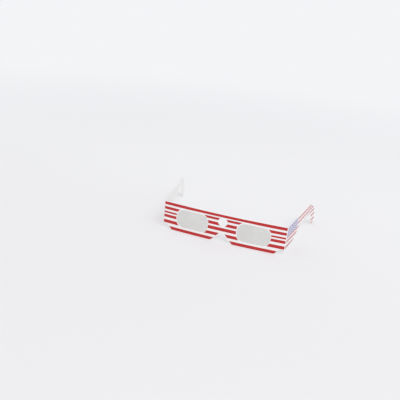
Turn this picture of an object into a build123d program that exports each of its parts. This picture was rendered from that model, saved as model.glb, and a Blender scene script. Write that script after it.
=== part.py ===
from build123d import *
import math
import os

# Eclipse glasses of folded card: one die-cut blank makes the front, the ply folded down behind it and
# both temples, and a square of solar film is glued behind each window.
# +X is to the right of someone who looks at the printed face, +Y runs back to the ear hooks, +Z is up.
# The glasses stand open on the front's lower edge and the ends of the ear hooks.
# The origin is on the floor, in the middle of their bounding box. Lengths are in mm, angles in degrees.

# Sheet stock
cardThickness = 0.4
filmThickness = 0.1
stripHeight = 34.2

# Front, between the two temple folds
frontWidth = 145.0
neckHeight = 27.4
shoulderLength = 4.8
cornerRun = 10.5
cornerRadius = 2.5

# Windows: the card left between them and round them, and how round their ends are
bridgeWidth = 34.8
sideBorder = 17.05
topBorder = 6.0
bottomBorder = 6.2
windowRoundShare = 0.79

# Nose notch in the lower edge
notchHeight = 11.8
notchTipWidth = 3.0
notchBaseWidth = 24.0
notchTipRadius = 3.0
notchFootRadius = 6.0

# Film and glue between the plies
filmLapX = 3.0
filmLapZ = 2.6
filmCornerRadius = 1.0
glueMargin = 1.0

# Temple folds
foldClearance = 0.1
foldPlay = 0.05
creaseInnerRadius = 0.15
backSetback = 0.8
templeSplay = 9.1

# Temples: a deep root, a slim arm and a broad curved hook
rootLength = 24.0
taperRun = 34.0
armDepth = 13.3
hookStart = 84.3
hookBackRadius = 38.8
hookTipRadius = 7.0
hookInnerSlope = 56.0
crotchRadius = 4.0

# Places worked out from the sizes above
halfFront = frontWidth / 2
neckBottom = stripHeight - neckHeight
windowWidth = halfFront - bridgeWidth / 2 - sideBorder
windowHeight = stripHeight - topBorder - bottomBorder
windowRadius = windowRoundShare * windowHeight / 2
windowMiddle = (bridgeWidth + windowWidth) / 2
windowRise = bottomBorder + windowHeight / 2
layerFront = cardThickness
backPlyFront = cardThickness + filmThickness
frontDepth = backPlyFront + cardThickness
axisDepth = frontDepth + foldClearance + cardThickness / 2
creaseOuterRadius = creaseInnerRadius + cardThickness
plyEnd = halfFront + cardThickness / 2 - creaseOuterRadius
backEnd = halfFront - cardThickness / 2 - backSetback
foldRadius = frontDepth / 2
foldStart = stripHeight - foldRadius

# Hook: the tip's circle touches the floor and lies inside the back edge's circle
hookCentre = (hookStart, stripHeight - hookBackRadius)
tipRise = hookTipRadius - hookCentre[1]
tipRun = math.sqrt((hookBackRadius - hookTipRadius) ** 2 - tipRise**2)
tipCentre = (hookStart + tipRun, hookTipRadius)
tipAngle = math.degrees(math.atan2(tipRise, tipRun))
templeReach = tipCentre[0] + hookTipRadius

# Depth of the open glasses, which sets where the origin lies
splayAngle = math.radians(templeSplay)
openDepth = axisDepth + templeReach * math.cos(splayAngle) + cardThickness / 2 * math.sin(splayAngle)


def mirrored(points):
    """The points of a right half, joined by the same points on the left."""
    return points + [(-x, z) for x, z in reversed(points)]


def roundCorners(face, corners, radius):
    """Round the corners of a flat face that lie at the given points."""
    picked = [face.vertices().sort_by_distance((x, z, 0))[0] for x, z in corners]
    return fillet(picked, radius)


def stood(outline, front, thickness):
    """Stand a flat outline up, with its front face at the given depth and its sheet behind it."""
    return Location((0, front, 0), (90, 0, 0)) * extrude(outline, amount=-thickness)


def onCircle(centre, radius, angle):
    """The point of a circle at an angle counted from +X."""
    turn = math.radians(angle)
    return (centre[0] + radius * math.cos(turn), centre[1] + radius * math.sin(turn))


def arc(centre, radius, start, end):
    """An arc about a centre, from one angle to another."""
    middle = (start + end) / 2
    return ThreePointArc(*(onCircle(centre, radius, angle) for angle in (start, middle, end)))


def frontOutline(end):
    """The front's outline up to a half width, with sloped lower corners and the nose notch."""
    shoulder = (halfFront - shoulderLength, neckBottom)
    corner = (halfFront - cornerRun, 0)
    foot = (notchBaseWidth / 2, 0)
    tip = (notchTipWidth / 2, notchHeight)
    half = [tip, foot, corner, shoulder, (end, neckBottom), (end, stripHeight)]
    face = make_face(Polyline(*mirrored(half), close=True))
    face = roundCorners(face, mirrored([shoulder]) + mirrored([corner]), cornerRadius)
    face = roundCorners(face, mirrored([foot]), notchFootRadius)
    return roundCorners(face, mirrored([tip]), notchTipRadius)


def atWindows(shape):
    """A flat shape repeated at the middle of each window."""
    return [Pos(side * windowMiddle, windowRise) * shape for side in (-1, 1)]


def plyOutline(end):
    """A ply's outline with both windows open and its top edge cut down to the fold."""
    opened = frontOutline(end) - atWindows(RectangleRounded(windowWidth, windowHeight, windowRadius))
    return opened - Pos(0, foldStart + foldRadius / 2) * Rectangle(2 * backEnd, foldRadius)


def filmOutline():
    return RectangleRounded(windowWidth + 2 * filmLapX, windowHeight + 2 * filmLapZ, filmCornerRadius)


def frontPanel():
    """The printed ply that carries both temples."""
    return stood(plyOutline(plyEnd), 0, cardThickness)


def backPanel():
    """The plain ply folded down behind the windows, cut short of the temple folds."""
    return stood(plyOutline(backEnd), backPlyFront, cardThickness)


def topFold():
    """The half turn of card along the top edge that joins the two plies."""
    ring = Circle(foldRadius) - Circle(filmThickness / 2)
    half = ring & Pos(0, foldRadius / 2) * Rectangle(frontDepth, foldRadius)
    placed = Plane.YZ.offset(-backEnd) * Pos(foldRadius, foldStart) * half
    return extrude(placed, amount=2 * backEnd)


def glueLayer():
    """The glue between the plies: a film's thickness deep, with a pocket for each film."""
    sheet = offset(frontOutline(backEnd), -glueMargin)
    return stood(sheet - atWindows(filmOutline()), layerFront, filmThickness)


def filterFilm(side):
    """The solar film behind one window."""
    return stood(Pos(side * windowMiddle, windowRise) * filmOutline(), layerFront, filmThickness)


def crease(side):
    """The scored strip that turns round the back ply's end and closes in a round bead on the fold axis."""
    halfCard = cardThickness / 2
    bend = (plyEnd, creaseOuterRadius)
    outer = [(halfFront + halfCard, creaseOuterRadius), (halfFront + halfCard, axisDepth)]
    inner = [(halfFront - halfCard, axisDepth), (halfFront - halfCard, creaseOuterRadius)]
    profile = make_face([
        arc(bend, creaseOuterRadius, -90, 0),
        Line(*outer),
        arc((halfFront, axisDepth), halfCard, 0, 180),
        Line(*inner),
        arc(bend, creaseInnerRadius, 0, -90),
        Line((plyEnd, cardThickness), (plyEnd, 0)),
    ])
    strip = Pos(0, 0, neckBottom) * extrude(profile, amount=neckHeight)
    return strip if side > 0 else mirror(strip, Plane.YZ)


def templeOutline():
    """One temple laid out flat: distance from the fold axis, and height."""
    root = cardThickness / 2 + foldPlay
    underside = stripHeight - armDepth
    drop = underside - neckBottom
    taperRadius = (taperRun**2 + drop**2) / (4 * drop)
    taperTurn = math.degrees(math.asin(taperRun / (2 * taperRadius)))
    rootEnd = (rootLength, neckBottom + taperRadius)
    armStart = (rootLength + taperRun, underside - taperRadius)
    innerEnd = onCircle(tipCentre, hookTipRadius, 270 - hookInnerSlope)
    climb = (underside - innerEnd[1]) / math.tan(math.radians(hookInnerSlope))
    crotch = (innerEnd[0] - climb, underside)
    face = make_face([
        Line((root, stripHeight), (hookStart, stripHeight)),
        arc(hookCentre, hookBackRadius, 90, tipAngle),
        arc(tipCentre, hookTipRadius, tipAngle, -90 - hookInnerSlope),
        Line(innerEnd, crotch),
        Line(crotch, (armStart[0], underside)),
        arc(armStart, taperRadius, 90, 90 + taperTurn),
        arc(rootEnd, taperRadius, taperTurn - 90, -90),
        Line((rootLength, neckBottom), (root, neckBottom)),
        Line((root, neckBottom), (root, stripHeight)),
    ])
    return roundCorners(face, [crotch], crotchRadius)


def temple(side):
    """One temple, swung out to its open pose about the fold axis."""
    sheet = stood(templeOutline(), -cardThickness / 2, cardThickness)
    opened = Location((halfFront, axisDepth, 0), (0, 0, 90 - templeSplay)) * sheet
    return opened if side > 0 else mirror(opened, Plane.YZ)


pieces = {
    "front_panel": frontPanel(),
    "back_panel": backPanel(),
    "top_fold": topFold(),
    "glue_layer": glueLayer(),
    "left_filter": filterFilm(-1),
    "right_filter": filterFilm(1),
    "left_crease": crease(-1),
    "right_crease": crease(1),
    "left_temple": temple(-1),
    "right_temple": temple(1),
}

os.makedirs("parts", exist_ok=True)
for name, solid in pieces.items():
    export_step(Pos(0, -openDepth / 2, 0) * solid, f"parts/{name}.step")

print("fold axes: x", round(halfFront, 3), "y", round(axisDepth - openDepth / 2, 3))
print("open depth", round(openDepth, 3), "temple reach", round(templeReach, 3))
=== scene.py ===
import math

import bmesh
import bpy
import numpy as np
from mathutils import Matrix, Vector


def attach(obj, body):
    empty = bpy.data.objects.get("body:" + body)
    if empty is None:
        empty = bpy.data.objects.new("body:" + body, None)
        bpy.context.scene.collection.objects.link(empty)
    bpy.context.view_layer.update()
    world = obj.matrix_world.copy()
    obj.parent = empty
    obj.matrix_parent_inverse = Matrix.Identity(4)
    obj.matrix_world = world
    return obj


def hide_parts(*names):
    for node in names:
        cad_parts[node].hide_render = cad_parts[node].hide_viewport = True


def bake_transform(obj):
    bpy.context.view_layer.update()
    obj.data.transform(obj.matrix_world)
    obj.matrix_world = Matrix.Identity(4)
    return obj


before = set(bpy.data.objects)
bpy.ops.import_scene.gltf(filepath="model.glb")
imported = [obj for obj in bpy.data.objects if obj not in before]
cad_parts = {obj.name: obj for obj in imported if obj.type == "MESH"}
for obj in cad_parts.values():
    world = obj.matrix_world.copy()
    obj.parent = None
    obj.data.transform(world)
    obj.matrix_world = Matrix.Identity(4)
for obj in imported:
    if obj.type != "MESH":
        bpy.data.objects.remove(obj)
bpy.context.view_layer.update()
mm = 0.001
perMetre = 1000

# Sizes of the card blank, in mm and degrees. Heights are above the floor, the strip's lower edge.
card = {
    "thickness": 0.4,
    "edgeRound": 0.06,   # how far the die leaves the cut edge rounded over
    "cell": 1.6,         # size of the little faces that let the sheet bend
    "arcStep": 0.7,      # spacing of points round a cut curve
    "faceDepth": -60.31,   # where the printed face lies along Y
    "stripHeight": 34.2,
    "halfFront": 72.5,
    "axisDepth": 1.2,      # the temples' fold axes, behind the printed face
    "splay": 9.1,
    "sharpFrom": 14,       # edges that turn by more are shaded sharp
}


class Wire:
    def __init__(self, tree, node, socket):
        self.tree = tree
        self.node = node
        self.socket = socket

    def out(self, key):
        return Wire(self.tree, self.node, pick(self.node.outputs, key))

    def math(self, operation, *others, clamp=False):
        settings = {"operation": operation, "use_clamp": clamp}
        values = dict(enumerate((self, *others)))
        return self.tree.node("ShaderNodeMath", settings, values)

    def __add__(self, other):
        return self.math("ADD", other)

    def __mul__(self, other):
        return self.math("MULTIPLY", other)

    def __sub__(self, other):
        return self.math("SUBTRACT", other)

    def __truediv__(self, other):
        return self.math("DIVIDE", other)

    def __rsub__(self, other):
        return self.tree.node("ShaderNodeMath", {"operation": "SUBTRACT"}, {0: other, 1: self})

    def __rtruediv__(self, other):
        return self.tree.node("ShaderNodeMath", {"operation": "DIVIDE"}, {0: other, 1: self})

    def __neg__(self):
        return self * -1

    def __abs__(self):
        return self.math("ABSOLUTE")

    __radd__ = __add__
    __rmul__ = __mul__

    def high(self, other):
        return self.math("MAXIMUM", other)

    def low(self, other):
        return self.math("MINIMUM", other)

    def over(self, edge, softness):
        # 0 below the edge and 1 above it, with a soft step
        return ((self - edge) * (1 / softness)).math("ADD", 0.5, clamp=True)


def pick(sockets, key):
    if isinstance(key, int):
        return sockets[key]
    for socket in sockets:
        if key in (socket.identifier, socket.name):
            return socket
    raise KeyError(key)


class Board:
    def __init__(self, tree):
        self.tree = tree
        tree.nodes.clear()

    def node(self, kind, settings=None, values=None):
        made = self.tree.nodes.new(kind)
        for name, value in (settings or {}).items():
            setattr(made, name, value)
        for key, value in (values or {}).items():
            socket = pick(made.inputs, key)
            if isinstance(value, Wire):
                self.tree.links.new(value.socket, socket)
            else:
                socket.default_value = value
        return Wire(self, made, made.outputs[0] if len(made.outputs) else None)

    def mixColour(self, factor, a, b):
        made = self.node("ShaderNodeMix", {"data_type": "RGBA"},
                         {"Factor_Float": factor, "A_Color": a, "B_Color": b})
        return made.out("Result_Color")

    def step(self, value, low, high):
        settings = {"interpolation_type": "SMOOTHSTEP"}
        return self.node("ShaderNodeMapRange", settings, {"Value": value, "From Min": low, "From Max": high})

    def noise(self, place, scale, detail=2.0, roughness=0.5):
        values = {"Vector": place, "Scale": scale, "Detail": detail, "Roughness": roughness}
        return self.node("ShaderNodeTexNoise", {}, values)


def newObject(name, data):
    made = bpy.data.objects.new(name, data)
    bpy.context.scene.collection.objects.link(made)
    return made


def newMaterial(name):
    material = bpy.data.materials.new(name)
    material.use_nodes = True
    return material, Board(material.node_tree)


def finishMaterial(board, values):
    surface = board.node("ShaderNodeBsdfPrincipled", {}, values)
    board.node("ShaderNodeOutputMaterial", {}, {"Surface": surface})


def bumped(board, height, strength=1.0):
    # heights are in mm
    values = {"Strength": strength, "Distance": mm, "Height": height}
    return board.node("ShaderNodeBump", {}, values).out("Normal")


def shaded(colour, share):
    return tuple(c * share for c in colour[:3]) + (1,)


print("print and card materials")
printed = {
    "red": (0.5, 0.014, 0.014, 1),
    "redShade": 1.1,
    "blue": (0.12, 0.117, 0.41, 1),
    "white": (0.94, 0.94, 0.945, 1),
    "whiteShade": 0.975,
    # From the top: the centre below the top edge and the width of each stripe, in mm, at the nose,
    # beside the temple folds, halfway along the arms and on the ear hooks.
    "stripes": [
        ((2.2, 3.15), (2.32, 3.6), (3.1, 3.0), (1.9, 2.9)),
        ((6.7, 2.9), (8.22, 3.4), (8.7, 3.0), (6.9, 3.0)),
        ((12.55, 3.7), (13.4, 2.2), (14.7, 2.4), (12.5, 2.9)),
        ((18.65, 4.0), (18.1, 3.5), (19.7, 3.1), (19.2, 3.1)),
        ((25.4, 3.8), (24.95, 3.95), (26.3, 3.3), (26.7, 3.3)),
        ((32.3, 3.85), (32.3, 3.85), (33.0, 3.3), (32.7, 3.5)),
    ],
    "stations": ((17.5, 55.0), (72.5, 110.0), (118.0, 170.0)),   # where each set passes into the next
    "cutMargin": 0.85,     # white left along the cuts of the front
    "hookMargin": 0.45,    # the same along the temples
    "topMargin": 0.2,
    "lowShift": 0.8,       # how much nearer the ink comes to the front's foot
    "windowShift": 0.5,    # and to the windows' right sides
    "windowHead": 0.4,     # how much further it stays from their top
    "foldMargin": 0.35,
    "foldSoftness": 0.25,
    "inkSoftness": 0.12,
    "ragged": 0.12,        # unevenness of the ink's edge
    "discPlace": (0.0, 9.4),
    "discRadius": 5.5,
    "fieldStart": 0.9,
    "fieldEnd": 38.5,
    "fieldTop": 0.4,
    "fieldBottom": 13.1,
    "fieldSoftness": 0.15,
    "fieldGap": 1.5,       # white between the field and the stripes that it cuts short
    "topRows": 2,          # how many stripes the field cuts short
    "starCells": (6, 5),   # columns and rows of stars, with one fewer of each set between them
    "starRadius": 1.35,
    "starSoftness": 0.12,
    "cellSoftness": 0.1,
    "roughness": (0.3, 0.1, -0.04),   # of the card, and what mottle and ink add to it
    "heights": {"film": 0.05, "fibres": 0.0035, "mottle": 0.006, "ink": 0.002},
    "varnish": {"IOR": 1.35, "Coat Weight": 1.0, "Coat Roughness": 0.12, "Coat IOR": 1.3},
}
window = {"middle": 36.425, "rise": 17.2, "width": 38.05, "height": 22.0, "radius": 8.69}
film = {
    "lapX": 3.0,   # how far it reaches past the window
    "lapZ": 2.6,
    "corner": 1.0,
    "thickness": 0.1,
    "edgeRound": 0.01,
    "ripples": ((0.10, 2.1, 1.3, 1), (0.05, 4.3, -2.2, 2)),   # height in mm, waves across and up, and start
    "cardStep": (-0.35, 0.75),   # how far the card over its edge takes to rise, in mm
}
# Scale, detail and roughness of each noise in the card.
grain = {
    "fibres": (2600, 4, 0.62),
    "mottle": (420, 3, 0.55),
    "ragged": (1500, 2, 0.6),
}


def objectPlace(board):
    return board.node("ShaderNodeTexCoord").out("Object")


def paperGrain(board):
    place = objectPlace(board)
    return board.noise(place, *grain["fibres"]), board.noise(place, *grain["mottle"])


def blankPlace(board):
    # where a point lies on the flat blank, in mm from its middle and from its lower edge
    place = board.node("ShaderNodeUVMap", {"uv_map": "blank"})
    parts = board.node("ShaderNodeSeparateXYZ", {}, {0: place})
    return parts.out("X") * perMetre, parts.out("Y") * perMetre


def filmStep(board, x, z):
    # the card stands a hair proud where the film lies under it
    qx = abs(abs(x) - window["middle"]) - (window["width"] / 2 + film["lapX"])
    qz = abs(z - window["rise"]) - (window["height"] / 2 + film["lapZ"])
    return 1 - board.step(qx.high(qz), *film["cardStep"])


def starMask(px, pz, radius, softness):
    # 1 inside a five-pointed star with its point upward
    reach = (px * px + pz * pz).math("SQRT")
    wedge = math.tau / 5
    turned = abs((px.math("ARCTAN2", pz) + wedge / 2).math("FLOORED_MODULO", wedge) - wedge / 2)
    across = reach * turned.math("SINE")
    outward = reach * turned.math("COSINE")
    lean, slant = 0.309, 0.951   # cosine and sine of 72 degrees
    return 1 - (outward * lean + across * slant).over(lean * radius, softness)


def stripeInk(board, along, drop, ragged):
    look = printed
    passing = [board.step(along, start, end) for start, end in look["stations"]]
    pastFold = along.over(card["halfFront"], 0.1)
    pastField = along.over(card["halfFront"] + look["fieldEnd"] + look["fieldGap"], look["inkSoftness"])
    ink = None
    for number, stations in enumerate(look["stripes"]):
        centre, width = stations[0]
        for share, before, after in zip(passing, stations, stations[1:]):
            centre = centre + share * (after[0] - before[0])
            width = width + share * (after[1] - before[1])
        stripe = (width * 0.5 - abs(drop - centre) + ragged).over(0, look["inkSoftness"])
        if number < look["topRows"]:
            stripe = stripe * (1 - pastFold * (1 - pastField))
        ink = stripe if ink is None else ink.high(stripe)
    return ink


def inkAllowed(board, x, drop, ragged):
    # 1 where the ink may lie: outside the disc and away from the cuts, the top edge and the folds
    look = printed
    along = abs(x)
    awayX, awayZ = x - look["discPlace"][0], drop - look["discPlace"][1]
    disc = (awayX.math("POWER", 2) + awayZ.math("POWER", 2)).math("SQRT")
    gap = board.node("ShaderNodeAttribute", {"attribute_name": "edgeGap"}).out("Fac")
    onTemple = along.over(card["halfFront"], 0.1)
    margin = look["cutMargin"] + onTemple * (look["hookMargin"] - look["cutMargin"])
    fromFold = abs(along - card["halfFront"]) + ragged * 3
    allowed = disc.over(look["discRadius"], look["inkSoftness"])
    allowed = allowed * (gap + ragged - margin).over(0, look["inkSoftness"])
    allowed = allowed * drop.over(look["topMargin"], look["inkSoftness"])
    return allowed * fromFold.over(look["foldMargin"], look["foldSoftness"])


def within(value, start, end, softness, inset=0):
    # 1 between two places, with soft ends
    return value.over(start + inset, softness) * (1 - value.over(end, softness))


def starredField(reach, drop):
    # the blue field on a temple, and the two sets of star rows that it is open for
    look = printed
    left, right, top, bottom = (look[key] for key in ("fieldStart", "fieldEnd", "fieldTop", "fieldBottom"))
    soft, cellSoft = look["fieldSoftness"], look["cellSoftness"]
    field = within(reach, left, right, soft) * within(drop, top, bottom, soft)
    pitchX = (right - left) / look["starCells"][0]
    pitchZ = (bottom - top) / look["starCells"][1]
    stars = 0
    for share, inset in ((0, 0), (0.5, 0.1)):
        startX, endX = left + pitchX * share, right - pitchX * share
        startZ, endZ = top + pitchZ * share, bottom - pitchZ * share
        px = (reach - startX).math("FLOORED_MODULO", pitchX) - pitchX / 2
        pz = (drop - startZ).math("FLOORED_MODULO", pitchZ) - pitchZ / 2
        star = starMask(px, -pz, look["starRadius"], look["starSoftness"])
        star = star * within(reach, startX, endX, cellSoft, inset)
        star = star * within(drop, startZ, endZ, cellSoft, inset)
        stars = star + stars
    return field, field * (1 - stars)


def makePrintedFace():
    material, board = newMaterial("printedFace")
    look = printed
    x, z = blankPlace(board)
    along = abs(x)
    drop = card["stripHeight"] - z
    fibres, mottle = paperGrain(board)
    ragged = (board.noise(objectPlace(board), *grain["ragged"]) - 0.5) * look["ragged"]
    ink = stripeInk(board, along, drop, ragged) * inkAllowed(board, x, drop, ragged)
    field, blue = starredField(along - card["halfFront"], drop)
    # halftone unevenness in the ink, then the ink over the white coating
    red = board.mixColour(mottle.over(0.5, 0.5), look["red"], shaded(look["red"], look["redShade"]))
    white = board.mixColour(mottle.over(0.5, 0.6), look["white"], shaded(look["white"], look["whiteShade"]))
    colour = board.mixColour(ink * (1 - field), white, red)
    colour = board.mixColour(blue, colour, look["blue"])
    base, byMottle, byInk = look["roughness"]
    heights = look["heights"]
    height = filmStep(board, x, z) * heights["film"] + fibres * heights["fibres"]
    height = height + mottle * heights["mottle"] + ink * heights["ink"]
    finishMaterial(board, {
        "Base Color": colour, "Roughness": base + mottle * byMottle + ink * byInk,
        "Normal": bumped(board, height), **look["varnish"],
    })
    return material


plain = {
    "tones": ((0.935, 0.935, 0.93, 1), (0.9, 0.9, 0.895, 1)),
    "flapEnd": 71.0,   # the film shows through the flap, but not past it
    "roughness": (0.62, 0.16),
    "heights": {"film": 0.05, "fibres": 0.006, "mottle": 0.008},
}


def makePlainFace():
    material, board = newMaterial("plainFace")
    x, z = blankPlace(board)
    fibres, mottle = paperGrain(board)
    overFilm = 1 - abs(x).over(plain["flapEnd"], 0.5)
    base, byFibres = plain["roughness"]
    heights = plain["heights"]
    height = filmStep(board, x, z) * overFilm * heights["film"]
    height = height + fibres * heights["fibres"] + mottle * heights["mottle"]
    finishMaterial(board, {
        "Base Color": board.mixColour(mottle.over(0.5, 0.5), *plain["tones"]),
        "Roughness": base + fibres * byFibres, "Normal": bumped(board, height),
    })
    return material


cut = {
    "tones": ((0.9, 0.895, 0.88, 1), (0.8, 0.79, 0.77, 1)),
    "roughness": (0.8, 0.1),
    "heights": {"fibres": 0.02, "mottle": 0.01},
}


def makeCutEdge():
    material, board = newMaterial("cutEdge")
    fibres, mottle = paperGrain(board)
    base, byMottle = cut["roughness"]
    height = fibres * cut["heights"]["fibres"] + mottle * cut["heights"]["mottle"]
    finishMaterial(board, {
        "Base Color": board.mixColour(fibres.over(0.5, 0.4), *cut["tones"]),
        "Roughness": base + mottle * byMottle, "Normal": bumped(board, height),
    })
    return material


filmLook = {
    "tones": ((0.834, 0.836, 0.808, 1), (0.734, 0.736, 0.711, 1)),
    "rollStretch": (0.35, 1, 2.2),
    # scale, detail and roughness of each noise
    "drawn": (190, 3, 0.5),
    "haze": (60, 2, 0.5),
    "specks": (1300, 1, 0.4),
    "speckEdge": (0.72, 0.08),
    "roughness": (0.2, 0.1, 0.08),   # of the film, and what its drawn lines and specks add to it
    "heights": {"drawn": 0.008, "haze": 0.045},
    "bumpStrength": 0.6,
}


def makeSolarFilm():
    material, board = newMaterial("solarFilm")
    place = objectPlace(board)
    rollLines = board.node("ShaderNodeMapping", {}, {"Vector": place, "Scale": filmLook["rollStretch"]})
    drawn = board.noise(rollLines, *filmLook["drawn"])
    haze = board.noise(place, *filmLook["haze"])
    specks = board.noise(place, *filmLook["specks"]).over(*filmLook["speckEdge"])
    base, byDrawn, bySpecks = filmLook["roughness"]
    height = drawn * filmLook["heights"]["drawn"] + haze * filmLook["heights"]["haze"]
    finishMaterial(board, {
        "Base Color": board.mixColour(haze.over(0.5, 0.7), *filmLook["tones"]), "Metallic": 1.0,
        "Roughness": base + drawn * byDrawn + specks * bySpecks,
        "Normal": bumped(board, height, filmLook["bumpStrength"]),
    })
    return material


glueLook = {
    "tones": ((0.82, 0.81, 0.77, 1), (0.72, 0.7, 0.64, 1)),
    "mottle": (500, 3, 0.6),
    "roughness": (0.4, 0.2),
    "height": 0.02,
    "bumpStrength": 0.5,
}


def makeGlue():
    material, board = newMaterial("driedGlue")
    mottle = board.noise(objectPlace(board), *glueLook["mottle"])
    base, byMottle = glueLook["roughness"]
    finishMaterial(board, {
        "Base Color": board.mixColour(mottle.over(0.5, 0.4), *glueLook["tones"]),
        "Roughness": base + mottle * byMottle,
        "Normal": bumped(board, mottle * glueLook["height"], glueLook["bumpStrength"]),
    })
    return material


printedFace = makePrintedFace()
plainFace = makePlainFace()
cutEdge = makeCutEdge()
solarFilm = makeSolarFilm()
driedGlue = makeGlue()


def arcPoints(centre, radius, start, end, stepSize=None):
    stepSize = stepSize or card["arcStep"]
    turn = math.radians(end - start)
    count = max(3, math.ceil(abs(turn) * radius / stepSize))
    angles = [math.radians(start) + turn * i / count for i in range(count + 1)]
    return [(centre[0] + radius * math.cos(a), centre[1] + radius * math.sin(a)) for a in angles]


def roundedLoop(corners):
    # corners are (x, z, radius); each one is swept round by its own arc
    points = []
    for i, (x, z, radius) in enumerate(corners):
        here = Vector((x, z))
        before = (Vector(corners[i - 1][:2]) - here).normalized()
        after = (Vector(corners[(i + 1) % len(corners)][:2]) - here).normalized()
        if radius == 0:
            points.append((x, z))
            continue
        half = before.angle(after) / 2
        reach = radius / math.tan(half)
        centre = here + (before + after).normalized() * (radius / math.sin(half))
        first = here + before * reach - centre
        last = here + after * reach - centre
        start = math.degrees(math.atan2(first.y, first.x))
        turn = math.degrees(math.atan2(first.x * last.y - first.y * last.x, first.dot(last)))
        points += arcPoints(centre, radius, start, start + turn)
    return points


def roundedBox(middle, width, height, radius):
    x, z = middle
    a, b = width / 2, height / 2
    ways = ((-1, -1), (1, -1), (1, 1), (-1, 1))
    return roundedLoop([(x + a * across, z + b * up, radius) for across, up in ways])


def windowBox(side, rise):
    return roundedBox((side * window["middle"], rise), window["width"], window["height"], window["radius"])


def filmBox(side):
    width, height = window["width"] + 2 * film["lapX"], window["height"] + 2 * film["lapZ"]
    return roundedBox((side * window["middle"], window["rise"]), width, height, film["corner"])


def cutAcross(bm, axis, place):
    # one straight cut through the faces that cross the given place on the axis
    point = Vector((0, 0, 0))
    normal = Vector((0, 0, 0))
    point[axis] = place
    normal[axis] = 1
    around = set()
    for f in bm.faces:
        reach = [v.co[axis] for v in f.verts]
        if min(reach) < place < max(reach):
            around.add(f)
            around.update(f.edges)
            around.update(f.verts)
    bmesh.ops.bisect_plane(bm, geom=list(around), dist=1e-6, plane_co=point, plane_no=normal)


sheet = {
    "mergeWithin": 0.08,   # points of the cuts that lie closer, in mm, become one
    "cornerReach": 0.6,    # keeps the rounding of a sharp corner from reaching too far
    "edgeProfile": ((1.0, 0.0), (0.29, 0.29), (0.0, 1.0)),   # inset and depth, in shares of the rounding
    "outside": 0,
    "inside": 1,
    "edge": 2,
}


def dicedFace(loops, cell, bendRows):
    # One flat face with holes, cut into little faces by two sets of lines, and by close rows where it bends.
    # Each rim pair runs the way that its face does.
    bm = bmesh.new()
    for loop in loops:
        corners = [bm.verts.new((x * mm, 0, z * mm)) for x, z in loop]
        for a, b in zip(corners, corners[1:] + corners[:1]):
            bm.edges.new((a, b))
    bmesh.ops.triangle_fill(bm, use_beauty=True, edges=bm.edges[:], normal=(0, -1, 0))
    flat = np.array([v.co for v in bm.verts])
    low, high = flat.min(axis=0), flat.max(axis=0)
    for axis in (0, 2):
        count = math.ceil((high[axis] - low[axis]) / (cell * mm))
        for i in range(1, count):
            cutAcross(bm, axis, low[axis] + (high[axis] - low[axis]) * i / count)
    bmesh.ops.remove_doubles(bm, verts=bm.verts[:], dist=sheet["mergeWithin"] * mm)
    for rise in bendRows:
        cutAcross(bm, 2, rise * mm)
    bm.normal_update()
    for f in bm.faces:
        if f.normal.y > 0:
            f.normal_flip()
    bm.verts.index_update()
    points = np.array([v.co for v in bm.verts])
    faces = [[v.index for v in f.verts] for f in bm.faces]
    rims = []
    for e in bm.edges:
        if len(e.link_faces) == 1:
            ring = e.link_faces[0].verts[:]
            a, b = e.verts
            at = ring.index(a)
            forward = ring[(at + 1) % len(ring)] is b
            rims.append((a.index, b.index) if forward else (b.index, a.index))
    bm.free()
    return points, faces, rims


def rimDirections(points, rims):
    # the way out of the sheet at each point of its rim
    outward = np.zeros((len(points), 3))
    for a, b in rims:
        run = points[b] - points[a]
        side = np.array([run[2], 0, -run[0]])
        side /= np.linalg.norm(side) + 1e-12
        outward[a] += side
        outward[b] += side
    rimPoints = sorted({i for pair in rims for i in pair})
    for i in rimPoints:
        length = np.linalg.norm(outward[i])
        outward[i] /= max(length * length / 2, sheet["cornerReach"])
    return outward, rimPoints


def cutSheet(name, loops, thickness, freeEdge=None, edgeRound=card["edgeRound"],
             cell=card["cell"], bendRows=()):
    # A sheet of card lying in its own plane: front face at depth 0, rounded cut edges, back face behind.
    # freeEdge says how far the ink may come nearer to a cut edge, or None where it runs across.
    points, faces, rims = dicedFace(loops, cell, bendRows)
    outward, rimPoints = rimDirections(points, rims)
    count = len(points)
    r, t = edgeRound * mm, thickness * mm
    levels = [(r * inset, r * deep) for inset, deep in sheet["edgeProfile"]]
    levels += [(inset, t - deep) for inset, deep in reversed(levels)]
    upperFace = points.copy()
    upperFace[rimPoints] -= outward[rimPoints] * levels[0][0]
    lowerFace = points.copy()
    lowerFace[rimPoints] -= outward[rimPoints] * levels[-1][0]
    lowerFace[:, 1] = t
    verts = upperFace.tolist() + lowerFace.tolist()
    rings = {0: {i: i for i in rimPoints}, len(levels) - 1: {i: i + count for i in rimPoints}}
    for level in range(1, len(levels) - 1):
        inset, deep = levels[level]
        rings[level] = {}
        for i in rimPoints:
            rings[level][i] = len(verts)
            spot = points[i] - outward[i] * inset
            verts.append((spot[0], deep, spot[2]))
    polygons = [list(f) for f in faces]
    kinds = [sheet["outside"]] * len(faces)
    polygons += [[i + count for i in reversed(f)] for f in faces]
    kinds += [sheet["inside"]] * len(faces)
    for level in range(len(levels) - 1):
        upper, lower = rings[level], rings[level + 1]
        for a, b in rims:
            polygons.append([upper[b], upper[a], lower[a], lower[b]])
            kinds.append(sheet["edge"])
    mesh = bpy.data.meshes.new(name)
    mesh.from_pydata(verts, [], polygons)
    sides = mesh.attributes.new("sheetSide", "INT", "FACE")
    sides.data.foreach_set("value", kinds)
    layer = mesh.uv_layers.new(name="blank")
    corners = np.empty(len(mesh.loops), dtype=np.int32)
    mesh.loops.foreach_get("vertex_index", corners)
    placed = np.array(verts)[corners][:, [0, 2]]
    layer.data.foreach_set("uv", placed.astype(np.float32).ravel())
    gaps = edgeGaps(np.array(verts), points, rims, freeEdge)
    attribute = mesh.attributes.new("edgeGap", "FLOAT", "POINT")
    attribute.data.foreach_set("value", gaps.astype(np.float32))
    mesh.update()
    return mesh


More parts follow.
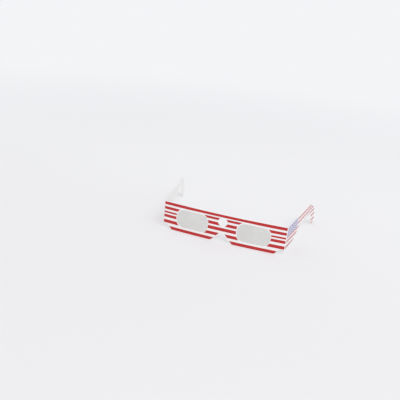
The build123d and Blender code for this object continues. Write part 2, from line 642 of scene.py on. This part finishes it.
def edgeGaps(verts, points, rims, freeEdge):
    # distance in mm from every point to the nearest cut edge that the ink keeps away from
    a = np.array([points[i] for i, j in rims])[:, [0, 2]] * perMetre
    b = np.array([points[j] for i, j in rims])[:, [0, 2]] * perMetre
    ease = np.zeros(len(a))
    if freeEdge is not None:
        lengths = np.linalg.norm(b - a, axis=1)[:, None] + 1e-9
        facing = np.stack([(b - a)[:, 1], (a - b)[:, 0]], axis=1) / lengths
        eases = [freeEdge((p + q) / 2, way) for p, q, way in zip(a, b, facing)]
        keep = np.array([e is not None for e in eases])
        a, b = a[keep], b[keep]
        ease = np.array([e for e in eases if e is not None])
    run = b - a
    square = (run * run).sum(axis=1) + 1e-9
    result = np.empty(len(verts))
    flat = verts[:, [0, 2]] * perMetre
    batch = 2000   # points measured at a time
    for start in range(0, len(flat), batch):
        part = flat[start:start + batch]
        share = (((part[:, None] - a[None]) * run[None]).sum(axis=2) / square).clip(0, 1)
        nearest = a[None] + share[..., None] * run[None]
        away = np.sqrt(((part[:, None] - nearest) ** 2).sum(axis=2))
        result[start:start + batch] = (away + ease).min(axis=1)
    return result


front = {
    "plyEnd": 72.15,
    "flapEnd": 71.5,
    "neckBottom": 6.8,
    "shoulder": 67.7,
    "corner": 62.0,
    "cornerRadius": 2.5,
    "notchTip": (1.5, 11.8, 3.0),    # across, up and radius of each corner of the notch
    "notchFoot": (12.0, 0.0, 6.0),
    "flapSlant": 0.1,      # the flap is this much wider where it starts
    "inkRunsFrom": 33.0,   # no white margin above this height, where the card folds back
    "inkRunsBy": 0.3,      # nor this near to the flap's ends and beyond
    "slack": 0.1,          # how near to a window's box a cut counts as its own
    "footTo": 0.5,         # height below which a cut counts as the foot
}


forming = {
    "foldStart": 33.75,
    "foldRadius": 0.45,      # of the fold's outside
    "foldHalfWidth": 71.502,
    "foldRows": 14,
    "bow": 3.2,
    "wave": 0.16,
    "waveLength": 55.0,
    "seed": 4.0,
    "noFold": 1.0,           # a fold that starts this far up, in metres, never comes
}
foldLength = math.pi * (forming["foldRadius"] - card["thickness"] / 2)


def formingTree():
    # folds the flap down behind the front, bows the front forward and adds the slow waves of handled card
    tree = bpy.data.node_groups.new("formCard", "GeometryNodeTree")
    side = tree.interface
    side.new_socket("Geometry", in_out="OUTPUT", socket_type="NodeSocketGeometry")
    side.new_socket("Geometry", in_out="INPUT", socket_type="NodeSocketGeometry")
    for name in ("Fold Start", "Fold Radius", "Fold Half Width", "Bow Depth", "Bow Half Width",
                 "Wave Height", "Wave Length", "Seed"):
        side.new_socket(name, in_out="INPUT", socket_type="NodeSocketFloat")
    for name in ("Outside", "Inside", "Edge"):
        side.new_socket(name, in_out="INPUT", socket_type="NodeSocketMaterial")
    board = Board(tree)
    given = board.node("NodeGroupInput")
    place = board.node("ShaderNodeSeparateXYZ", {}, {0: board.node("GeometryNodeInputPosition")})
    x, deep, rise = (place.out(axis) for axis in "XYZ")
    radius = given.out("Fold Radius")
    start = given.out("Fold Start")
    middle = radius - card["thickness"] * mm / 2
    inFold = abs(x).math("LESS_THAN", given.out("Fold Half Width"))
    past = (rise - start).high(0) * inFold
    turn = (past / middle).low(math.pi)
    beyond = (past - middle * math.pi).high(0)
    arm = radius - deep
    folded = past.math("GREATER_THAN", 0)
    foldDeep = radius - arm * turn.math("COSINE")
    foldRise = start + arm * turn.math("SINE") - beyond
    newDeep = deep + (foldDeep - deep) * folded
    newRise = rise + (foldRise - rise) * folded
    share = (x / given.out("Bow Half Width")).math("POWER", 2)
    bow = (1 - share).high(0) * given.out("Bow Depth")
    along = board.node("ShaderNodeCombineXYZ", {}, {"X": x, "Y": 0.0, "Z": newRise})
    wavePlace = board.node("ShaderNodeVectorMath", {"operation": "SCALE"},
                           {0: along, "Scale": 1 / given.out("Wave Length")})
    wave = board.node("ShaderNodeTexNoise", {"noise_dimensions": "4D"},
                      {"Vector": wavePlace, "W": given.out("Seed"), "Scale": 1.0, "Detail": 1.0})
    sway = (wave - 0.5) * 2 * given.out("Wave Height") * (1 - share).high(0).low(1)
    newDeep = newDeep - bow + sway
    formed = board.node("ShaderNodeCombineXYZ", {}, {"X": x, "Y": newDeep, "Z": newRise})
    moved = board.node("GeometryNodeSetPosition", {}, {"Geometry": given.out("Geometry"), "Position": formed})
    whole = board.node("GeometryNodeRealizeInstances", {}, {"Geometry": moved})
    kind = board.node("GeometryNodeInputNamedAttribute", {"data_type": "INT"}, {"Name": "sheetSide"})
    for name in ("Outside", "Inside", "Edge"):
        chosen = board.node("FunctionNodeCompare", {"data_type": "INT", "operation": "EQUAL"},
                            {"A_INT": kind, "B_INT": sheet[name.lower()]})
        whole = board.node("GeometryNodeSetMaterial", {},
                           {"Geometry": whole, "Selection": chosen, "Material": given.out(name)})
    board.node("NodeGroupOutput", {}, {"Geometry": whole})
    return tree


formCard = formingTree()


def formed(mesh, values):
    # runs the forming tree on a flat cut and returns the plain mesh
    carrier = newObject(mesh.name + "Flat", mesh)
    modifier = carrier.modifiers.new("form", "NODES")
    modifier.node_group = formCard
    for item in formCard.interface.items_tree:
        if item.in_out == "INPUT" and item.name in values:
            modifier[item.identifier] = values[item.name]
    depsgraph = bpy.context.evaluated_depsgraph_get()
    result = bpy.data.meshes.new_from_object(carrier.evaluated_get(depsgraph))
    bpy.data.objects.remove(carrier)
    return result


def formValues(outside, inside, edge, folds=True):
    return {
        "Fold Start": forming["foldStart"] * mm if folds else forming["noFold"],
        "Fold Radius": forming["foldRadius"] * mm,
        "Fold Half Width": forming["foldHalfWidth"] * mm,
        "Bow Depth": forming["bow"] * mm,
        "Bow Half Width": front["plyEnd"] * mm,
        "Wave Height": forming["wave"] * mm,
        "Wave Length": forming["waveLength"] * mm,
        "Seed": forming["seed"],
        "Outside": outside,
        "Inside": inside,
        "Edge": edge,
    }


def placed(name, mesh, body, nodes, slotName, matrix=None):
    # gives a finished mesh its place, its body and the card nodes that it stands for
    if matrix is not None:
        mesh.transform(matrix)
        if matrix.determinant() < 0:
            mesh.flip_normals()
    mesh.polygons.foreach_set("use_smooth", [True] * len(mesh.polygons))
    mesh.set_sharp_from_angle(angle=math.radians(card["sharpFrom"]))
    mesh.update()
    piece = newObject(name, mesh)
    if body:
        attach(piece, body)
    if nodes:
        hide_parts(*nodes)
    print("made", name, len(mesh.polygons), "faces")
    return piece


frontPlace = Matrix.Translation((0, card["faceDepth"] * mm, 0))
behindPly = Matrix.Translation((0, card["thickness"] * mm, 0)) @ frontPlace
mirror = Matrix.Scale(-1, 4, (1, 0, 0))


def plyHalf(end):
    # right half of a ply's outline, from the notch to the outer end
    return [
        front["notchTip"],
        front["notchFoot"],
        (front["corner"], 0, front["cornerRadius"]),
        (front["shoulder"], front["neckBottom"], front["cornerRadius"]),
        (end, front["neckBottom"], 0),
    ]


def onFlap(rise):
    # how high on the flat blank the flap has what lies at this height once it is folded down
    return 2 * forming["foldStart"] + foldLength - rise


def blankLoops():
    right = plyHalf(front["plyEnd"])
    right += [
        (front["plyEnd"], card["stripHeight"], 0),
        (front["flapEnd"] + front["flapSlant"], card["stripHeight"], 0),
        (front["flapEnd"], forming["foldStart"], 0),
    ]
    right += [(x, onFlap(z), r) for x, z, r in reversed(plyHalf(front["flapEnd"]))]
    left = [(-x, z, r) for x, z, r in reversed(right)]
    loops = [roundedLoop(right + left)]
    for side in (-1, 1):
        loops += [windowBox(side, window["rise"]), windowBox(side, onFlap(window["rise"]))]
    return loops


def frontCutEdge(spot, facing):
    # the print isn't quite true to the cuts: its white margin changes along the foot and round the windows
    x, z = abs(spot[0]), spot[1]
    if x > front["flapEnd"] - front["inkRunsBy"] or z > front["inkRunsFrom"]:
        return None
    leftward, downward = max(0.0, -facing[0]), max(0.0, -facing[1])
    inColumn = abs(x - window["middle"]) < window["width"] / 2 + front["slack"]
    if inColumn and abs(z - window["rise"]) < window["height"] / 2 + front["slack"]:
        return printed["windowShift"] * leftward - printed["windowHead"] * downward
    inNotch = x < front["notchFoot"][0] and z > front["footTo"]
    return 0.0 if inNotch and facing[0] < 0 else printed["lowShift"] * downward


def makeFront():
    count = forming["foldRows"]
    rows = [forming["foldStart"] + foldLength * i / count for i in range(count + 1)]
    flat = cutSheet("foldedFront", blankLoops(), card["thickness"], frontCutEdge, bendRows=rows)
    mesh = formed(flat, formValues(printedFace, plainFace, cutEdge))
    nodes = ["front_panel", "back_panel", "top_fold"]
    placed("foldedFront", mesh, "front", nodes, "printed_card", frontPlace)


print("front")
makeFront()


def filmRipple(u, v, side):
    # slow waves of the film between the window's edges, in mm, for places from -1 to 1
    free = (1 - np.clip(np.abs(u), 0, 1) ** 4) * (1 - np.clip(np.abs(v), 0, 1) ** 4)
    return free * sum(high * np.sin(across * u + up * v + start * side)
                      for high, across, up, start in film["ripples"])


def makeFilm(side):
    name = "leftFilm" if side < 0 else "rightFilm"
    node = "left_filter" if side < 0 else "right_filter"
    flat = cutSheet(name, [filmBox(side)], film["thickness"], edgeRound=film["edgeRound"])
    mesh = formed(flat, formValues(solarFilm, solarFilm, solarFilm, folds=False))
    shape = np.array([v.co for v in mesh.vertices])
    u = (shape[:, 0] / mm - side * window["middle"]) / (window["width"] / 2)
    v = (shape[:, 2] / mm - window["rise"]) / (window["height"] / 2)
    shape[:, 1] += filmRipple(u, v, side) * mm
    mesh.vertices.foreach_set("co", shape.astype(np.float32).ravel())
    placed(name, mesh, "front", [node], "solar_film", behindPly)


glue = {
    # across, up and radius of each corner of the layer's right half, from the notch outwards
    "half": (
        (1.95, 12.8, 4.0),
        (12.4, 1.0, 5.0),
        (61.5, 1.0, 2.0),
        (67.2, 7.8, 2.0),
        (70.5, 7.8, 0),
        (70.5, 33.2, 0),
    ),
    "cell": 3.0,
}


def makeGlueLayer():
    left = [(-x, z, r) for x, z, r in reversed(glue["half"])]
    loops = [roundedLoop([*glue["half"], *left]), filmBox(-1), filmBox(1)]
    flat = cutSheet("glueLayer", loops, film["thickness"], edgeRound=film["edgeRound"], cell=glue["cell"])
    mesh = formed(flat, formValues(driedGlue, driedGlue, driedGlue, folds=False))
    placed("glueLayer", mesh, "front", ["glue_layer"], "glue", behindPly)


print("films and glue")
makeFilm(-1)
makeFilm(1)
makeGlueLayer()


temple = {
    "root": 0.25,
    "rootLength": 24.0,
    "taperRun": 34.0,
    "armDepth": 13.3,
    "hookStart": 84.3,
    "hookBackRadius": 38.8,
    "hookTipRadius": 7.0,
    "hookInnerSlope": 56.0,
    "crotchRadius": 4.0,
    "taperStep": 1.5,     # spacing of points along the taper
    "length": 120.0,      # over which the temple bows
    "bow": 0.5,
    "wave": 0.25,
    "waveLength": 70.0,
    "seeds": {-1: 4.3, 1: 10.3},
    "inkRunsTo": 0.8,     # no white margin beside the fold
}


def templeLoop():
    # one temple laid out flat, from the fold axis to the ear hook
    top = card["stripHeight"]
    underside = top - temple["armDepth"]
    low = front["neckBottom"]
    hookCentre = (temple["hookStart"], top - temple["hookBackRadius"])
    rise = temple["hookTipRadius"] - hookCentre[1]
    run = math.sqrt((temple["hookBackRadius"] - temple["hookTipRadius"]) ** 2 - rise ** 2)
    tip = (temple["hookStart"] + run, temple["hookTipRadius"])
    tipAngle = math.degrees(math.atan2(rise, run))
    slope = temple["hookInnerSlope"]
    drop = underside - low
    taper = (temple["taperRun"] ** 2 + drop ** 2) / (4 * drop)
    turn = math.degrees(math.asin(temple["taperRun"] / (2 * taper)))
    armStart = temple["rootLength"] + temple["taperRun"]
    inner = arcPoints(tip, temple["hookTipRadius"], tipAngle, -90 - slope)
    climb = (underside - inner[-1][1]) / math.tan(math.radians(slope))
    crotch = (inner[-1][0] - climb, underside)
    back = temple["crotchRadius"] / math.tan(math.radians(180 - slope) / 2)
    crotchCentre = (crotch[0] - back, underside - temple["crotchRadius"])
    spacing = temple["taperStep"]
    points = [(temple["root"], top)]
    points += arcPoints(hookCentre, temple["hookBackRadius"], 90, tipAngle)
    points += inner
    points += arcPoints(crotchCentre, temple["crotchRadius"], 90 - slope, 90)
    points += arcPoints((armStart, underside - taper), taper, 90, 90 + turn, spacing)
    points += arcPoints((temple["rootLength"], low + taper), taper, turn - 90, -90, spacing)[1:]
    points += [(temple["root"], low)]
    kept = []
    for p in points:
        if not kept or math.dist(p, kept[-1]) > 0.02:
            kept.append(p)
    return list(reversed(kept))


def templeCutEdge(spot, facing):
    # the ink keeps its margin from every cut but the top edge and the root
    atTop = spot[1] > card["stripHeight"] - 0.02
    return None if atTop or spot[0] < temple["inkRunsTo"] else 0.0


def makeTemple(side):
    name = "leftTemple" if side < 0 else "rightTemple"
    node = "left_temple" if side < 0 else "right_temple"
    flat = cutSheet(name, [templeLoop()], card["thickness"], templeCutEdge)
    values = formValues(printedFace, plainFace, cutEdge, folds=False)
    values.update({
        "Bow Depth": 0.0, "Bow Half Width": 1.0,
        "Wave Height": temple["wave"] * mm, "Wave Length": temple["waveLength"] * mm,
        "Seed": temple["seeds"][side],
    })
    mesh = formed(flat, values)
    # the print's blank coordinates run on from the front, past the fold
    layer = mesh.uv_layers["blank"]
    spots = np.empty(len(mesh.loops) * 2, dtype=np.float32)
    layer.data.foreach_get("uv", spots)
    spots = spots.reshape(-1, 2)
    spots[:, 0] += card["halfFront"] * mm
    layer.data.foreach_set("uv", spots.ravel())
    shape = np.array([v.co for v in mesh.vertices])
    u = np.clip(shape[:, 0] / (temple["length"] * mm), 0, 1)
    shape[:, 1] += temple["bow"] * mm * 4 * u * (1 - u) - card["thickness"] / 2 * mm
    mesh.vertices.foreach_set("co", shape.astype(np.float32).ravel())
    turn = Matrix.Rotation(math.radians(90 - card["splay"]), 4, "Z")
    axis = Matrix.Translation((card["halfFront"] * mm, (card["faceDepth"] + card["axisDepth"]) * mm, 0))
    place = axis @ turn
    if side < 0:
        place = mirror @ place
    placed(name, mesh, node, [node], "printed_card", place)


print("temples")
makeTemple(-1)
makeTemple(1)


crease = {
    "start": (72.15, 0.2),   # across, and behind the printed face
    "startHeading": 5.0,
    "reach": 0.25,           # past the fold axis
    "pulls": (0.32, 0.8),    # handles of the curve at its start and its end
    "rows": 46,
    "steps": 16,
    "seeds": {-1: 10, 1: 12},
    "crack": 0.012,          # unevenness of the scored line
    "swell": 0.03,           # how far the card pinches where it bends
    "gap": 5.0,              # edge gap of a piece whose cuts the ink runs over
    "blendDepths": (0.42, 1.18),
    "blendHeight": 20.0,
}


def creaseSpots():
    # points along the strip's middle, seen from above, each with its sideways direction and its bend
    splay = math.radians(card["splay"])
    ahead = Vector((math.sin(splay), math.cos(splay)))
    heading = math.radians(crease["startHeading"])
    first = Vector(crease["start"])
    last = Vector((card["halfFront"], card["axisDepth"])) + ahead * crease["reach"]
    second = first + Vector((math.cos(heading), math.sin(heading))) * crease["pulls"][0]
    third = last - ahead * crease["pulls"][1]
    spots = []
    for i in range(crease["steps"] + 1):
        t = i / crease["steps"]
        u = 1 - t
        spot = first * u ** 3 + second * (3 * t * u ** 2) + third * (3 * t * t * u) + last * t ** 3
        way = (second - first) * u ** 2 + (third - second) * 2 * t * u + (last - third) * t * t
        way.normalize()
        spots.append((spot, Vector((way.y, -way.x)), math.sin(math.pi * t) ** 2))
    return spots


def creaseMesh(name, side):
    bm = bmesh.new()
    layer = bm.loops.layers.uv.new("blank")
    low, high = front["neckBottom"], card["stripHeight"]
    n, m = crease["steps"], crease["rows"]
    half = card["thickness"] / 2
    crack = np.random.default_rng(crease["seeds"][side]).normal(0, crease["crack"], m + 1)
    spots = creaseSpots()
    runs = [0.0]
    for (before, *_), (after, *_) in zip(spots, spots[1:]):
        runs.append(runs[-1] + (after - before).length)
    blankRun = card["halfFront"] + crease["reach"] - crease["start"][0]
    verts = {}
    for i, (spot, sideways, bend) in enumerate(spots):
        for j in range(m + 1):
            z = low + (high - low) * j / m
            for face, offset, swell in ((0, half, -crease["swell"]), (1, -half, crease["swell"])):
                place = spot + sideways * (offset + bend * swell + bend * crack[j])
                verts[i, j, face] = bm.verts.new((place.x * mm, place.y * mm, z * mm))

    def quad(kind, *corners):
        made = bm.faces.new([verts[c] for c in corners])
        made.material_index = sheet[kind]
        for loop, (i, j, face) in zip(made.loops, corners):
            across = crease["start"][0] + blankRun * runs[i] / runs[-1]
            loop[layer].uv = (across * mm, (low + (high - low) * j / m) * mm)

    for i in range(n):
        for j in range(m):
            quad("outside", (i, j, 0), (i + 1, j, 0), (i + 1, j + 1, 0), (i, j + 1, 0))
            quad("inside", (i, j, 1), (i, j + 1, 1), (i + 1, j + 1, 1), (i + 1, j, 1))
        quad("edge", (i, 0, 0), (i, 0, 1), (i + 1, 0, 1), (i + 1, 0, 0))
        quad("edge", (i, m, 0), (i + 1, m, 0), (i + 1, m, 1), (i, m, 1))
    for j in range(m):
        quad("edge", (0, j, 0), (0, j + 1, 0), (0, j + 1, 1), (0, j, 1))
        quad("edge", (n, j, 0), (n, j, 1), (n, j + 1, 1), (n, j + 1, 0))
    mesh = bpy.data.meshes.new(name)
    bm.to_mesh(mesh)
    bm.free()
    for material in (printedFace, plainFace, cutEdge):
        mesh.materials.append(material)
    gaps = mesh.attributes.new("edgeGap", "FLOAT", "POINT")
    gaps.data.foreach_set("value", [crease["gap"]] * len(mesh.vertices))
    return mesh


def makeCrease(side):
    # the scored strip of card that turns back from the front into a temple
    name = "leftCrease" if side < 0 else "rightCrease"
    node = "left_crease" if side < 0 else "right_crease"
    place = frontPlace if side > 0 else frontPlace @ mirror
    piece = placed(name, creaseMesh(name, side), None, [node], "printed_card", place)
    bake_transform(piece)


print("creases")
makeCrease(-1)
makeCrease(1)


view = {
    "imageWidth": 400,
    "sensorWidth": 36,
    "focal": 480.1,      # in image pixels
    "clip": (0.01, 20),
    "place": (116.28, -488.54, 237.41),   # from the middle of the printed face's lower edge
    "right": (0.94126, 0.32248, 0.10016),
    "ahead": (-0.26909, 0.89552, -0.35446),
}


def makeCamera():
    lens = bpy.data.cameras.new("camera")
    lens.lens = view["focal"] / view["imageWidth"] * view["sensorWidth"]
    lens.sensor_width = view["sensorWidth"]
    lens.clip_start, lens.clip_end = view["clip"]
    camera = newObject("camera", lens)
    right = Vector(view["right"]).normalized()
    back = -Vector(view["ahead"]).normalized()
    up = back.cross(right)
    place = frontPlace @ (Vector(view["place"]) * mm)
    turn = Matrix((right, up, back)).transposed().to_4x4()
    camera.matrix_world = Matrix.Translation(place) @ turn
    bpy.context.scene.camera = camera


backdrop = {
    "colour": (0.895, 0.908, 0.928, 1),
    "paintedShadeBases": ((0.825, 0.815, 0.84, 1), (0.9, 0.895, 0.92, 1)),   # painted shade: the floor's colour, darker before the object than behind it
    "depths": (-0.25, 0.25),
    "roughness": 0.9,
    "radius": 3.0,
    "sides": 64,
    "glow": 0.4,           # share of its own light round the object
    "fade": (0.35, 1.6),   # distances between which that share rises to all of it
}
lamps = {
    "world": 0.76,
    "keyPower": 20.0,
    "keyPlace": (1.0, -1.25, 2.0),
    "keySize": 1.3,
}


def seenDirectly(board):
    # 1 for what the camera sees, straight or by a reflection
    rays = board.node("ShaderNodeLightPath")
    return rays.out("Is Camera Ray").high(rays.out("Is Glossy Ray")).high(rays.out("Is Transmission Ray"))


def makeFloor():
    material, board = newMaterial("studioFloor")
    place = board.node("ShaderNodeTexCoord").out("Object")
    parts = board.node("ShaderNodeSeparateXYZ", {}, {0: place})
    reach = (parts.out("X") * parts.out("X") + parts.out("Y") * parts.out("Y")).math("SQRT")
    fade = board.step(reach, *backdrop["fade"]) * (1 - backdrop["glow"]) + backdrop["glow"]
    seen = seenDirectly(board)
    # painted shade: the floor's colour darkens from behind the object towards the camera
    base = board.mixColour(board.step(parts.out("Y"), *backdrop["depths"]), *backdrop["paintedShadeBases"])
    values = {"Base Color": base, "Roughness": backdrop["roughness"]}
    matt = board.node("ShaderNodeBsdfPrincipled", {}, values)
    glow = board.node("ShaderNodeEmission", {}, {"Color": backdrop["colour"], "Strength": 1.0})
    mixed = board.node("ShaderNodeMixShader", {}, {0: fade * seen, 1: matt, 2: glow})
    board.node("ShaderNodeOutputMaterial", {}, {"Surface": mixed})
    bm = bmesh.new()
    bmesh.ops.create_circle(bm, cap_ends=True, segments=backdrop["sides"], radius=backdrop["radius"])
    mesh = bpy.data.meshes.new("studioFloor")
    bm.to_mesh(mesh)
    bm.free()
    mesh.materials.append(material)
    floor = newObject("studioFloor", mesh)


def makeLight():
    world = bpy.data.worlds.new("studio")
    world.use_nodes = True
    bpy.context.scene.world = world
    board = Board(world.node_tree)
    seen = seenDirectly(board)
    strength = lamps["world"] + seen * (1 - lamps["world"])
    colour = board.mixColour(seen, (1, 1, 1, 1), backdrop["colour"])
    glow = board.node("ShaderNodeBackground", {}, {"Color": colour, "Strength": strength})
    board.node("ShaderNodeOutputWorld", {}, {"Surface": glow})
    key = bpy.data.lights.new("key", "AREA")
    key.energy = lamps["keyPower"]
    key.size = lamps["keySize"]
    lamp = newObject("key", key)
    lamp.location = lamps["keyPlace"]
    lamp.rotation_euler = (-Vector(lamps["keyPlace"])).to_track_quat("-Z", "Y").to_euler()


print("camera and light")
makeCamera()
makeFloor()
makeLight()
bpy.context.scene.view_settings.view_transform = "Standard"
